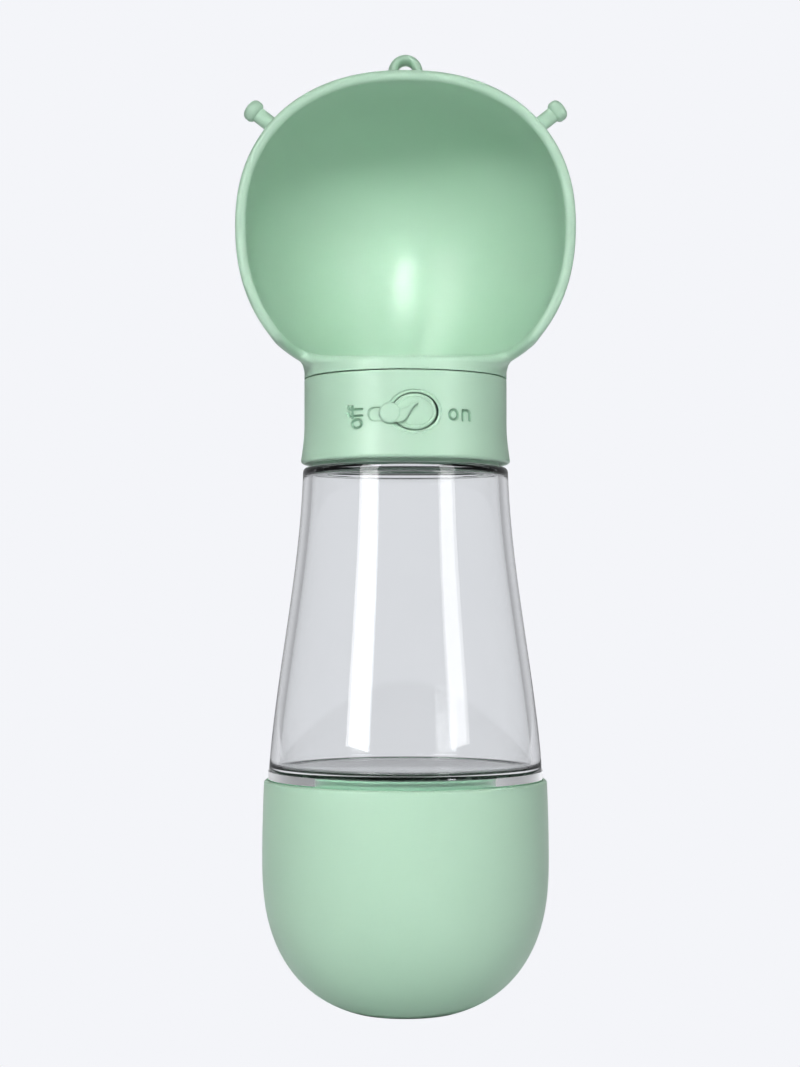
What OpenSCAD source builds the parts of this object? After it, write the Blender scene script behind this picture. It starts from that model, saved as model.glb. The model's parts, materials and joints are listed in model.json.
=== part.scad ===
// Dog travel water bottle: food cup, clear bottle, valve head and drinking bowl.
// The origin is the centre of the cup's flat foot, +Z is up and -Y is the side that the bowl opens to.

/* [Food cup] */
// Height of the food cup, foot to rim
cup_h = 64; // [58:0.5:74]
// Largest radius of the cup
cup_r = 40; // [39.7:0.1:42]
// Height at which the cup is widest
cup_waist = 42; // [36:0.5:46]
// Radius of the flat foot that it stands on
foot_r = 16; // [12:0.5:20]
// Fullness of the cup's round end, 2 is an ellipse
cup_full = 2.45; // [2:0.05:3]
// Wall of the cup
cup_wall = 3; // [2.8:0.1:4]
// How far the cup's rim draws in
cup_draw = 0.5; // [0.2:0.1:0.6]

/* [Bottle] */
// Height of the clear bottle between the cup and its shoulder
bottle_h = 87.2; // [70:0.2:120]
// How far the bottle's edge steps in from the cup's rim
bottle_step = 1.2; // [0.9:0.1:1.4]
// Radius of the bottle at the shoulder
shoulder_r = 28.6; // [28.3:0.1:29.2]
// Wall of the bottle
bottle_wall = 2.6; // [2:0.1:2.7]
// Outer radius of the threaded neck
neck_r = 24.2; // [23.8:0.1:24.4]
// Height of the neck above the shoulder
neck_h = 5.6; // [5.2:0.1:6.4]
// Thickness of the bottle's welded base
base_t = 2.6; // [2:0.1:4]

/* [Threads] */
// Rise of the cup's two start thread in one turn
cup_lead = 8; // [7.6:0.2:9]
// Rise of the neck's two start thread in one turn
neck_lead = 6; // [5.8:0.2:7]
// Length of the cup's threaded spigot
spigot_h = 10; // [9:0.5:12]
// Height of a thread ridge
ridge_h = 0.9; // [0.6:0.1:0.9]
// Radial gap between mating threads
thread_gap = 0.4; // [0.35:0.05:0.5]

/* [Collar and switch] */
// Outer radius of the collar at the seam
collar_r = 28.25; // [28.1:0.05:28.8]
// How far the collar's lower edge flares
collar_flare = 0.95; // [0.4:0.05:1.2]
// Height of the collar
collar_h = 23.4; // [22.6:0.1:26]
// Sideways place of the button's middle
button_x = 2.3; // [2:0.1:2.8]
// Half width of the button's oval face
button_rx = 5.6; // [5:0.1:5.8]
// Half height of the button's oval face
button_rz = 4.75; // [4:0.05:4.75]
// Gap round the button
button_gap = 0.3; // [0.2:0.05:0.3]
// Width of the sunk band round the button
band_w = 0.8; // [0.5:0.1:1]
// How far the button travels
button_travel = 2.5; // [1.5:0.1:2.5]
// Sideways place of the lock's knob
knob_x = -4.2; // [-4.6:0.1:-4.1]
// Radius of the lock's knob
knob_r = 2.48; // [2:0.02:2.6]
// How far the knob stands above the collar
knob_h = 1.0; // [0.6:0.1:1.4]
// How far the lock slides along the collar
lock_travel = 2.8; // [2:0.1:2.9]

/* [Valve] */
// Radius of the valve hole
seat_r = 4; // [3:0.1:4.4]
// Radius of the valve stem
stem_r = 1.5; // [1.2:0.1:1.6]
// Radius of the push rod
rod_r = 1.8; // [1.4:0.1:1.9]
// Height of the valve spring
spring_h = 6.2; // [6:0.1:6.4]
// Mean radius of the valve spring
spring_r = 2.25; // [2.1:0.05:2.3]
// Radius of the spring's wire
wire_r = 0.3; // [0.25:0.01:0.33]
// Number of turns of the spring
spring_turns = 4; // [3:1:4]
// Inner radius of the water chamber
chamber_r = 12; // [11.5:0.1:12.4]

/* [Bowl] */
// Half width of the bowl at its rim
bowl_rx = 45.5; // [40:0.5:52]
// Height of the bowl's widest place above the seam
bowl_mid = 38.3; // [36:0.1:44]
// Height of the rim's top above the widest place
bowl_up = 41.4; // [36:0.2:48]
// Depth of the bowl's outline below the widest place
bowl_down = 44.5; // [42:0.5:46]
// Fullness of the bowl's outline, 2 is an ellipse
bowl_full = 2.25; // [2:0.05:2.6]
// Wall of the bowl
bowl_wall = 2.4; // [2:0.1:2.6]
// Width of the rounded rim, seen from the front
rim_w = 2.9; // [2.6:0.1:3.6]
// Height of the drinking lip above the seam
lip_h = 3.5; // [3:0.1:4.5]
// Height above the seam at which the back starts to lean forward
back_rise = 36; // [30:0.5:40]

/* [Pegs and eye] */
// Radius of a peg's shank
peg_r = 2.1; // [1.6:0.1:2.4]
// Radius of a peg's head
peg_head_r = 2.95; // [2.6:0.05:3.4]
// Thickness of a peg's head
peg_head_t = 3.6; // [3:0.1:4.2]
// Depth of a peg's foot below the bowl's top
peg_drop = 13.8; // [12.5:0.1:15]
// Length of a peg, from the bowl's side to the middle of its head
peg_l = 5.8; // [5.4:0.1:6.4]
// Angle of a peg above the horizontal
peg_angle = 38; // [34:1:42]
// Radius to the middle of the eye's round bar
eye_r = 3.3; // [3.1:0.05:3.8]
// Radius of the eye's round bar
eye_bar_r = 1.4; // [1.1:0.05:1.5]
// How much deeper than thick the eye's bar is, front to back
eye_stretch = 2.1; // [1.6:0.1:2.4]

/* [Hidden] */
$fn = 96;

mint = "#b4dbc2";
deep_mint = "#9ccbb0";
clear = [0.88, 0.92, 0.93, 0.45];
silicone = "#e6ece8";
steel = "#b9bcc0";

// Fits that more than one piece shares
slip = 0.05;
run_gap = 0.1;
seam = 0.3;
arc_steps = 8;
eps = 0.01;

// Food cup
rim_r = cup_r - cup_draw;
rim_round = 0.8;
rim_lip = 1.1;
ledge_w = 1.4;
ledge_drop = 1.2;
floor_t = 3;
cup_in_r = rim_r - rim_lip - ledge_w;
ledge_z = cup_h - ledge_drop;
cup_foot_angle = acos(pow(foot_r / cup_r, cup_full / 2));
cup_dome_h = cup_waist / pow(sin(cup_foot_angle), 2 / cup_full);
cup_in_waist_r = cup_r - cup_wall;
cup_in_dome_h = cup_waist - floor_t;

// Bottle
bottle_r = rim_r - bottle_step;
bottle_z = cup_h + 0.4;
shoulder_z = bottle_z + bottle_h;
neck_top = shoulder_z + neck_h;
neck_in_r = neck_r - bottle_wall;
base_r = bottle_curve(base_t / bottle_h) - bottle_wall;
spigot_r = cup_in_r - ridge_h - 2 * thread_gap + 0.2;
spigot_wall = 2.3;

// Threads
thread_step = 7.5;
cup_ridge_w = 2.1;
cup_crest_w = 1;
neck_ridge_w = 1.6;
neck_crest_w = 0.7;
cup_thread_z = bottle_z - spigot_h + 1.6;
cup_thread_h = spigot_h - 5.6;
neck_thread_z = shoulder_z + 1.2;
neck_thread_h = neck_h - 3;

// Collar
collar_z = shoulder_z + 0.4;
seam_z = collar_z + collar_h;
collar_bore_r = neck_r + ridge_h + thread_gap;
ledge_r = collar_bore_r - ridge_h;
housing_z = neck_top + 1.4;
collar_ledge_t = 1.2;
collar_top_bore_r = collar_bore_r + 0.65;
switch_z = shoulder_z + 12.4;
switch_drop = 0.45;
slot_z = switch_z - 0.4;
slot_r = 2;
slot_drop = 0.6;
slot_end = knob_x - knob_r - lock_travel - 0.3;
slot_half_h = 1.15;

// Lock slider
tail_gap = 0.12;
tail_t = 0.5;
latch_x = knob_x - 1.0;
latch_half_w = 1.2;
latch_half_h = 0.95;
pin_half = 0.65;
clip_y = collar_top_bore_r - 1.25;
clip_t = 1;

// Valve and push rod
housing_t = 2;
plate_top = housing_z + housing_t;
housing_r = collar_top_bore_r - 0.15;
chamber_wall = 2;
chamber_top = seam_z - 1.4;
rod_z = plate_top + 5.6;
gland_r = 3.4;
gland_in_r = 2.5;
gland_end = 20;
gland_l = 3;
seal_room = 2;
seal_r = 0.32;
button_face_t = 1.6;
plate_flat = collar_r - button_face_t - seam - button_travel - 0.4;
block_low = plate_top + 0.3;
block_high = switch_z + button_rz - 0.6;
guide_t = 1.2;
guide_r = 8;
spring_z = plate_top + guide_t;
wedge_z = spring_z + spring_h;
wedge_half_x = 2.4;
wedge_half_y = 2.2;
wedge_foot = 0.4;
stem_grip = 0.8;
ramp_half_x = 2.1;
ramp_back = 10.5;
tip_r = 1.1;
tip_l = 0.6;
plug_r = seat_r + 1.4;
plug_t = 1.6;
flange_y = collar_top_bore_r - 1.2;
flange_t = 1;
screw_ring = 18.2;
screw_r = 1;
boss_r = 2.6;
screw_angles = [30, 90, 150];
screw_head_r = 2.1;
screw_head_t = 1.4;
screw_bite = 5.6;
screw_l = housing_t + screw_bite;
cross_l = 2.6;
cross_w = 0.6;

// Bowl
bowl_z = seam_z + seam;
bowl_c = bowl_z + bowl_mid;
bowl_top = bowl_c + bowl_up;
front_y = collar_r;
lip_z = bowl_z + lip_h;
blend_z0 = bowl_z + 1.8;
blend_z1 = bowl_z + 10.3;
back_z = bowl_z + back_rise;
plate_z = bowl_z + 0.3;
outlet_t = 2;
outlet_r = 5;
floor_r = collar_r - bowl_wall - 0.25;
bowl_points = 48;
corner_r = 14;
opening_d = 9;
lip_d = 16;
bowl_levels = concat(
    [bowl_z, blend_z0],
    [for (i = [1:6]) blend_z0 + (blend_z1 - blend_z0) * i / 6],
    [for (i = [1:5]) blend_z1 + (bowl_c - blend_z1) * i / 5],
    [for (a = [12:12:72]) bowl_c + bowl_up * sin(a)],
    [for (a = [79, 85, 89.2]) bowl_c + bowl_up * sin(a)]
);

// Pegs
peg_root = 3.2;
peg_depth = 4.2;
peg_x = bowl_half(bowl_top - peg_drop, 0) + peg_l * cos(peg_angle);
peg_z = bowl_top - peg_drop + peg_l * sin(peg_angle);

// Eye
eye_y = -17;
eye_land = 0.3;
eye_hole_r = eye_r - eye_bar_r + eye_land;
eye_z = bowl_top + 1.8;

function mix(a, b, t) = a + (b - a) * t;
function smooth(t) = let (c = max(0, min(1, t))) c * c * (3 - 2 * c);
function round_off(u, n) = pow(max(0, 1 - pow(abs(u), n)), 1 / n);
function arc(x, y, r, a0, a1, n = arc_steps) =
    [for (i = [0:n]) let (a = mix(a0, a1, i / n)) [x + r * cos(a), y + r * sin(a)]];

// A superellipse quarter that runs from the widest place down to an angle
function dome(r, z, h, full, a_end, n = 22) =
    [for (i = [0:n]) let (a = a_end * i / n)
        [r * pow(cos(a), 2 / full), z - h * pow(sin(a), 2 / full)]];

// Outer radius of the bottle at a share of its height, with set slopes at both ends
function bottle_curve(t) =
    let (a = 2 * t * t * t - 3 * t * t + 1, b = t * t * t - 2 * t * t + t, c = t * t * t - t * t)
    shoulder_r + (bottle_r - shoulder_r) * (a - 0.6 * b - 0.2 * c);
function bottle_side(inset, t0, t1, n = 24) =
    [for (i = [0:n]) let (t = mix(t0, t1, i / n)) [bottle_curve(t) - inset, bottle_z + bottle_h * t]];

// One point of a thread's section, which sinks into its wall at both ends
function thread_ring(i, n, base, crest, lead, z, base_w, crest_w) =
    let (
        a = i * thread_step,
        ramp = min(1, min(i, n - i) / 4),
        sunk = base + (base < crest ? -0.3 : 0.3),
        top = mix(mix(sunk, base, 0.5), crest, ramp),
        zc = z + lead * a / 360,
        half = mix(base_w, crest_w, ramp) / 2
    )
    [for (p = [[sunk, -base_w / 2], [top, -half], [top, half], [sunk, base_w / 2]])
        [p[0] * cos(a), p[0] * sin(a), zc + p[1]]];

// A thread of two starts, outside a wall where crest > base and inside it where crest < base
module thread(base, crest, lead, z, base_w, crest_w, rise, turn = 0) {
    n = round(rise / lead * 360 / thread_step);
    points = [for (i = [0:n]) each thread_ring(i, n, base, crest, lead, z, base_w, crest_w)];
    sides = [for (i = [0:n - 1], k = [0:3])
        [4 * i + k, 4 * i + (k + 1) % 4, 4 * i + 4 + (k + 1) % 4, 4 * i + 4 + k]];
    split = [for (f = sides) each [[f[0], f[1], f[2]], [f[0], f[2], f[3]]]];
    ends = [[3, 2, 1], [3, 1, 0], [4 * n, 4 * n + 1, 4 * n + 2], [4 * n, 4 * n + 2, 4 * n + 3]];
    faces = concat(split, ends);
    flip = [for (f = faces) [f[2], f[1], f[0]]];
    for (start = [0, 180])
        rotate([0, 0, start + turn])
            polyhedron(points = points, faces = base < crest ? faces : flip);
}

// An oval prism that runs along Y from y0 to y1
module oval(x, z, rx, rz, y0, y1, n = 72) {
    translate([x, y1, z])
        rotate([90, 0, 0])
            linear_extrude(y1 - y0)
                polygon([for (i = [0:n - 1]) [rx * cos(360 * i / n), rz * sin(360 * i / n)]]);
}

// A cylinder that runs along Y from y0 to y1
module rod_y(x, z, r, y0, y1) {
    translate([x, y1, z])
        rotate([90, 0, 0])
            cylinder(r = r, h = y1 - y0);
}

module ring(r_out, r_in, z0, z1) {
    translate([0, 0, z0])
        difference() {
            cylinder(r = r_out, h = z1 - z0);
            translate([0, 0, -1])
                cylinder(r = r_in, h = z1 - z0 + 2);
        }
}

module food_cup() color(mint) {
    outer = concat(
        [[0, 0]],
        [for (i = [22:-1:0]) dome(cup_r, cup_waist, cup_dome_h, cup_full, cup_foot_angle)[i]],
        [for (i = [1:6]) let (t = i / 6)
            [cup_r - cup_draw * t * t, mix(cup_waist, cup_h - rim_round, t)]],
        arc(rim_r - rim_round, cup_h - rim_round, rim_round, 15, 90, 5)
    );
    inner = concat(
        [[rim_r - rim_lip, cup_h], [rim_r - rim_lip, ledge_z], [cup_in_r, ledge_z],
            [cup_in_r, cup_h - 18]],
        dome(cup_in_waist_r, cup_waist, cup_in_dome_h, cup_full, 90)
    );
    rotate_extrude()
        polygon(concat(outer, inner));
    thread(cup_in_r, cup_in_r - ridge_h, cup_lead, cup_thread_z + cup_lead / 4, cup_ridge_w,
        cup_crest_w, cup_thread_h - 1);
}

module cup_gasket() color(deep_mint)
    ring(cup_in_r + ledge_w - slip * 4, cup_in_r + slip * 4, ledge_z, bottle_z);

module bottle_base() color(clear) {
    ring_t = spigot_r - spigot_wall;
    difference() {
        union() {
            translate([0, 0, bottle_z])
                cylinder(r = base_r - slip, h = base_t);
            translate([0, 0, bottle_z - spigot_h])
                cylinder(r = spigot_r, h = spigot_h + 1);
            thread(spigot_r, spigot_r + ridge_h, cup_lead, cup_thread_z, cup_ridge_w,
                cup_crest_w, cup_thread_h);
        }
        translate([0, 0, bottle_z - spigot_h - 1])
            cylinder(r = ring_t, h = spigot_h + 1);
    }
}

module bottle_shell() color(clear) {
    shoulder_round = 1.2;
    outer = concat(
        bottle_side(0, 0, 1 - shoulder_round / bottle_h),
        arc(shoulder_r - shoulder_round, shoulder_z - shoulder_round, shoulder_round, 10, 90, 5),
        [[neck_r + 0.6, shoulder_z], [neck_r, shoulder_z + 0.6], [neck_r, neck_top - 0.4],
            [neck_r - 0.4, neck_top]]
    );
    inner_top = 1 - (bottle_wall + 2) / bottle_h;
    corner = bottle_side(bottle_wall, 0, inner_top);
    inner = concat(
        [[neck_in_r, neck_top], [neck_in_r, shoulder_z - bottle_wall]],
        [[corner[24][0] - 2, shoulder_z - bottle_wall]],
        [for (i = [24:-1:0]) corner[i]]
    );
    rotate_extrude()
        polygon(concat(outer, inner));
    thread(neck_r, neck_r + ridge_h, neck_lead, neck_thread_z, neck_ridge_w, neck_crest_w,
        neck_thread_h);
}

module neck_gasket() color(silicone)
    ring(neck_r - 0.3, neck_in_r + 0.2, neck_top, housing_z);

module collar() color(mint) {
    edge = 0.9;
    low_r = collar_r + collar_flare;
    flare = [for (i = [0:8]) let (t = i / 8)
        [low_r - collar_flare * sin(90 * t), mix(collar_z + edge, collar_z + 11, t)]];
    profile = concat(
        [[collar_bore_r, collar_z]],
        arc(low_r - edge, collar_z + edge, edge, -90, 0, 5),
        flare,
        [[collar_r, seam_z - 0.25], [collar_r - 0.25, seam_z], [collar_top_bore_r, seam_z],
            [collar_top_bore_r, housing_z], [ledge_r, housing_z],
            [ledge_r, housing_z - collar_ledge_t], [collar_bore_r, housing_z - collar_ledge_t]]
    );
    difference() {
        rotate_extrude()
            polygon(profile);
        oval(button_x, switch_z, button_rx + button_gap, button_rz + button_gap,
            -collar_r - 3, -collar_bore_r + 3);
        switch_band();
        slot_pocket();
        translate([slot_end + 0.3, -collar_r - 3, slot_z - slot_half_h])
            cube([button_x - 3 - slot_end, 8, 2 * slot_half_h]);
    }
    thread(collar_bore_r, ledge_r, neck_lead, neck_thread_z + neck_lead / 4, neck_ridge_w,
        neck_crest_w, neck_thread_h - 0.6);
}

// The shallow sunk band that frames the button
module switch_band()
    difference() {
        oval(button_x, switch_z, button_rx + button_gap + band_w, button_rz + button_gap + band_w,
            -collar_r - 3, -collar_r + 8);
        translate([0, 0, switch_z - 12])
            cylinder(r = collar_r - switch_drop, h = 24);
    }

// The shallow round-ended pocket that the lock's knob slides in
module slot_pocket()
    difference() {
        union() {
            rod_y(slot_end + slot_r, slot_z, slot_r, -collar_r - 3, -collar_r + 8);
            translate([slot_end + slot_r, -collar_r - 3, slot_z - slot_r])
                cube([knob_x - slot_end, 11, 2 * slot_r]);
        }
        translate([0, 0, slot_z - 12])
            cylinder(r = collar_r - slot_drop, h = 24);
    }

module valve_housing() color(deep_mint)
    difference() {
        union() {
            difference() {
                translate([0, 0, housing_z])
                    cylinder(r = housing_r, h = housing_t);
                translate([-15, -collar_r - 10, housing_z - 1])
                    cube([30, collar_r + 10 - plate_flat, housing_t + 2]);
            }
            ring(chamber_r + chamber_wall, chamber_r, plate_top - 0.5, chamber_top);
            rod_y(0, rod_z, gland_r, -gland_end, -chamber_r - 0.5);
        }
        translate([0, 0, housing_z - 1])
            cylinder(r = seat_r, h = housing_t + 2);
        rod_y(0, rod_z, rod_r + run_gap, -gland_end - 1, -chamber_r + 1);
        rod_y(0, rod_z, gland_in_r, -gland_end - 1, -gland_end + gland_l + seal_room);
        for (a = screw_angles)
            rotate([0, 0, a])
                translate([screw_ring, 0, housing_z - 1])
                    cylinder(r = screw_r + 0.15, h = housing_t + 2);
    }

module housing_screws() color(steel)
    for (a = screw_angles)
        rotate([0, 0, a])
            translate([screw_ring, 0, housing_z - screw_head_t])
                difference() {
                    union() {
                        cylinder(r = screw_head_r, h = screw_head_t);
                        cylinder(r = screw_r, h = screw_head_t + screw_l);
                    }
                    for (turn = [0, 90])
                        rotate([0, 0, turn])
                            translate([-cross_l / 2, -cross_w / 2, -1])
                                cube([cross_l, cross_w, 1 + screw_head_t / 2]);
                }

module stem_guide() color(deep_mint)
    difference() {
        translate([0, 0, plate_top])
            cylinder(r = guide_r, h = guide_t);
        translate([0, 0, plate_top - 1])
            cylinder(r = stem_r + run_gap, h = guide_t + 2);
        for (a = [30:60:330])
            rotate([0, 0, a])
                translate([4.1, 0, plate_top - 1])
                    cylinder(r = 1.1, h = guide_t + 2);
    }

module valve_spring() color(steel) {
    sides = 6;
    per_turn = 14;
    rings = spring_turns * per_turn;
    gap = 0.02;
    points = [for (i = [0:rings]) let (
            a = 360 * i / per_turn,
            z = spring_z + wire_r + gap + (spring_h - 2 * wire_r - 2 * gap) * i / rings)
        for (k = [0:sides - 1]) let (b = 360 * k / sides)
            [(spring_r + wire_r * cos(b)) * cos(a), (spring_r + wire_r * cos(b)) * sin(a),
                z + wire_r * sin(b)]];
    walls = [for (i = [0:rings - 1], k = [0:sides - 1]) let (
            p = i * sides + k,
            q = i * sides + (k + 1) % sides)
        each [[p, q, q + sides], [p, q + sides, p + sides]]];
    first = [for (k = [1:sides - 2]) [0, k + 1, k]];
    last = [for (k = [1:sides - 2]) [rings * sides, rings * sides + k, rings * sides + k + 1]];
    polyhedron(points = points, faces = concat(walls, first, last));
}

module valve_stem() color("#d7ddd9")
    union() {
        translate([0, 0, housing_z - plug_t + 0.6])
            cylinder(r = stem_r, h = wedge_z + stem_grip - housing_z + plug_t - 0.6);
        translate([0, 0, housing_z - plug_t - 0.7])
            cylinder(r1 = 1.2, r2 = 1.9, h = 0.7);
        translate([0, 0, housing_z - plug_t - 0.5])
            cylinder(r = 1.2, h = 1.5);
    }

module valve_plug() color(silicone)
    difference() {
        translate([0, 0, housing_z - plug_t])
            cylinder(r = plug_r, h = plug_t);
        translate([0, 0, housing_z - plug_t - 1])
            cylinder(r = 1.2 + slip, h = plug_t + 2);
        translate([0, 0, housing_z - plug_t + 0.6 - slip])
            cylinder(r = stem_r + slip, h = plug_t + 1);
    }

// Rides on the stem's top and turns the rod's push into a downward one
module stem_wedge() color(deep_mint)
    difference() {
        translate([wedge_half_x, 0, 0])
            rotate([0, -90, 0])
                linear_extrude(2 * wedge_half_x)
                    polygon([[wedge_z, -wedge_half_y], [wedge_z + wedge_foot, -wedge_half_y],
                        [wedge_z + wedge_foot + 2 * wedge_half_y, wedge_half_y],
                        [wedge_z, wedge_half_y]]);
        translate([0, 0, wedge_z - 1])
            cylinder(r = stem_r + slip, h = 1 + stem_grip + slip);
    }

module push_rod() color("#d7ddd9") {
    slope_z = wedge_z + wedge_foot + wedge_half_y + slip;
    low = rod_z - rod_r;
    tip = slope_z + wedge_half_y;
    translate([ramp_half_x, 0, 0])
        rotate([0, -90, 0])
            linear_extrude(2 * ramp_half_x)
                polygon([[low, -ramp_back], [low, low - slope_z], [tip, wedge_half_y],
                    [tip + 1, wedge_half_y], [tip + 1, -ramp_back + 5],
                    [rod_z + rod_r, -ramp_back]]);
    rod_y(0, rod_z, rod_r, -flange_y + flange_t, -ramp_back + 0.5);
    rod_y(0, rod_z, tip_r, -flange_y - tip_l, -flange_y + flange_t + 1);
}

module push_button() color(mint)
    difference() {
        union() {
            intersection() {
                oval(button_x, switch_z, button_rx, button_rz, -collar_r,
                    -collar_r + button_face_t + seam);
                translate([0, 0, switch_z - 12])
                    cylinder(r = collar_r - seam, h = 24);
            }
            oval(button_x, (block_low + block_high) / 2, button_rx - 1.4, (block_high - block_low) / 2,
                -collar_r + button_face_t, -flange_y + flange_t);
            translate([button_x - 4.9, -flange_y, switch_z - 2.8])
                cube([9.6, flange_t, 9.4]);
        }
        rod_y(0, rod_z, tip_r + slip, -flange_y - tip_l - slip, -flange_y + flange_t + 1);
    }

module rod_seal() color("#3c4a42")
    translate([0, -gland_end + gland_l + seal_room / 2, rod_z])
        rotate([90, 0, 0])
            rotate_extrude()
                translate([rod_r + seal_r + 0.03, 0])
                    circle(r = seal_r, $fn = 32);

module rod_gland() color(deep_mint)
    difference() {
        rod_y(0, rod_z, gland_in_r - slip, -gland_end, -gland_end + gland_l);
        rod_y(0, rod_z, rod_r + run_gap, -gland_end - 1, -gland_end + gland_l + 1);
    }

// A cubic curve through two ends with two control points
function bezier(a, b, c, d, n = 10) =
    [for (i = [0:n]) let (t = i / n, s = 1 - t)
        s * s * s * a + 3 * s * s * t * b + 3 * s * t * t * c + t * t * t * d];

module lock_slider() color(mint) {
    low = collar_r + tail_gap;
    tip = [button_x + 1.0, switch_z + 2.5];
    tail = concat(
        bezier([knob_x + 1.6, switch_z - 2.6], [knob_x + 6.4, switch_z - 2.4],
            [knob_x + 4.3, switch_z + 2.5], tip),
        bezier(tip + [0, 0.35], [knob_x + 5.2, switch_z + 3.2],
            [knob_x + 4.4, switch_z + 0.9], [knob_x + 1.8, switch_z + 0.9])
    );
    difference() {
        intersection() {
            translate([0, -collar_r + 4, 0])
                rotate([90, 0, 0])
                    linear_extrude(8)
                        polygon(tail);
            translate([0, 0, switch_z - 12])
                cylinder(r = low + tail_t, h = 24);
        }
        translate([0, 0, switch_z - 13])
            cylinder(r = low, h = 26);
    }
    difference() {
        intersection() {
            rod_y(knob_x, slot_z + 0.2, knob_r, -collar_r - 3, -collar_r + 3);
            translate([0, 0, switch_z - 12])
                cylinder(r = collar_r + knob_h, h = 24);
        }
        translate([0, 0, switch_z - 13])
            cylinder(r = low, h = 26);
    }
    intersection() {
        translate([latch_x - latch_half_w, -collar_r - 0.6, slot_z - latch_half_h])
            cube([2 * latch_half_w, collar_r + 0.6 - clip_y, 2 * latch_half_h]);
        translate([0, 0, switch_z - 12])
            cylinder(r = low + 0.3, h = 24);
    }
    translate([latch_x - pin_half, -clip_y - 0.5, slot_z - pin_half])
        cube([2 * pin_half, clip_t + 0.5, 2 * pin_half]);
}

module slider_clip() color(deep_mint)
    difference() {
        translate([latch_x - 1.6, -clip_y, slot_z - 2.4])
            cube([3.2, clip_t, 4.8]);
        translate([latch_x - pin_half - slip, -clip_y - 1, slot_z - pin_half - slip])
            cube([2 * (pin_half + slip), clip_t + 2, 2 * (pin_half + slip)]);
    }

// Closes the bowl's neck, carries the bosses and lets the water up into the bowl
module outlet_plate() color(mint)
    difference() {
        union() {
            translate([0, 0, plate_z])
                cylinder(r = floor_r, h = outlet_t);
            ring(floor_r, floor_r - 1.6, seam_z - 3, plate_z + 0.2);
            for (a = screw_angles)
                rotate([0, 0, a])
                    translate([screw_ring, 0, plate_top])
                        cylinder(r = boss_r, h = plate_z - plate_top + 0.5);
        }
        translate([0, 0, plate_z - 1])
            cylinder(r = outlet_r, h = outlet_t + 2);
        for (a = screw_angles)
            rotate([0, 0, a])
                translate([screw_ring, 0, plate_top - 1])
                    cylinder(r = screw_r + slip, h = screw_l + 1.4);
    }

module chamber_seal() color(silicone)
    ring(chamber_r + chamber_wall, chamber_r, chamber_top, plate_z);

module outlet_grille() color(deep_mint)
    difference() {
        union() {
            translate([0, 0, plate_z])
                cylinder(r = outlet_r - slip, h = outlet_t);
            translate([0, 0, plate_z + outlet_t])
                cylinder(r = outlet_r + 1.2, h = 0.8);
        }
        for (a = [0:60:300])
            rotate([0, 0, a])
                translate([2.9, 0, plate_z - 1])
                    cylinder(r = 0.9, h = outlet_t + 3);
        translate([0, 0, plate_z - 1])
            cylinder(r = 1, h = outlet_t + 3);
    }

// Half width of the bowl's front outline at a height, drawn in by an inset
function bowl_half(z, inset) =
    (bowl_rx - inset) * round_off((z - bowl_c) / ((z > bowl_c ? bowl_up : bowl_down) - inset),
        bowl_full);

// A level section runs from the round neck to a deep D shape with a flat front
function bowl_section(z, inset) = let (
        s = smooth((z - blend_z0) / (blend_z1 - blend_z0)),
        yc = -front_y * s,
        half = mix(collar_r - inset, bowl_half(z, inset), s),
        lean = z < back_z ? 1 : round_off((z - back_z) / (bowl_top - inset - back_z), 2),
        back = -front_y + (front_y + collar_r - inset) * lean,
        front = front_y + yc - inset + 0.2 * s)
    [for (i = [0:bowl_points - 1]) let (a = 360 * i / bowl_points)
        [half * cos(a), yc + (sin(a) > 0 ? back - yc : front) * sin(a), z]];

module bowl_slab(z0, z1, inset)
    hull()
        polyhedron(points = concat(bowl_section(z0, inset), bowl_section(z1, inset)),
            faces = [[for (i = [0:2 * bowl_points - 1]) i]]);

module bowl_solid(inset, levels)
    for (i = [0:len(levels) - 2])
        bowl_slab(levels[i], levels[i + 1], inset);

// The opening as seen from the front, with a level lip and rounded corners
module opening_outline() {
    steps = 60;
    ring_points = [for (i = [0:steps - 1]) let (
            a = 360 * i / steps,
            u = sin(a),
            z = (u > 0 ? bowl_up - rim_w + 0.4 : bowl_down - rim_w) * sign(u)
                * pow(abs(u), 2 / bowl_full))
        [(bowl_rx - rim_w) * sign(cos(a)) * pow(abs(cos(a)), 2 / bowl_full), bowl_c + z]];
    offset(r = corner_r)
        offset(delta = -corner_r)
            intersection() {
                polygon(ring_points);
                translate([-2 * bowl_rx, lip_z])
                    square(4 * bowl_rx);
            }
}

// The opening's cut, which reaches deeper along the lip, where the wall curves back round the neck
module bowl_opening() {
    ahead = -2 * front_y;
    intersection() {
        rotate([90, 0, 0])
            linear_extrude(2 * front_y)
                opening_outline();
        translate([-bowl_rx, 0, 0])
            rotate([90, 0, 90])
                linear_extrude(2 * bowl_rx)
                    polygon([[ahead, bowl_z], [lip_d - front_y, bowl_z],
                        [lip_d - front_y, blend_z1 - 3], [opening_d - front_y, blend_z1 + 5],
                        [opening_d - front_y, bowl_top + 1], [ahead, bowl_top + 1]]);
    }
}

module drinking_bowl() color(mint) {
    inside = concat([bowl_z - 1], [for (z = bowl_levels) if (z > bowl_z && z < bowl_top - bowl_wall) z],
        [bowl_top - bowl_wall - eps]);
    difference() {
        bowl_solid(0, bowl_levels);
        bowl_solid(bowl_wall, inside);
        bowl_opening();
    }
}

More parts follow.
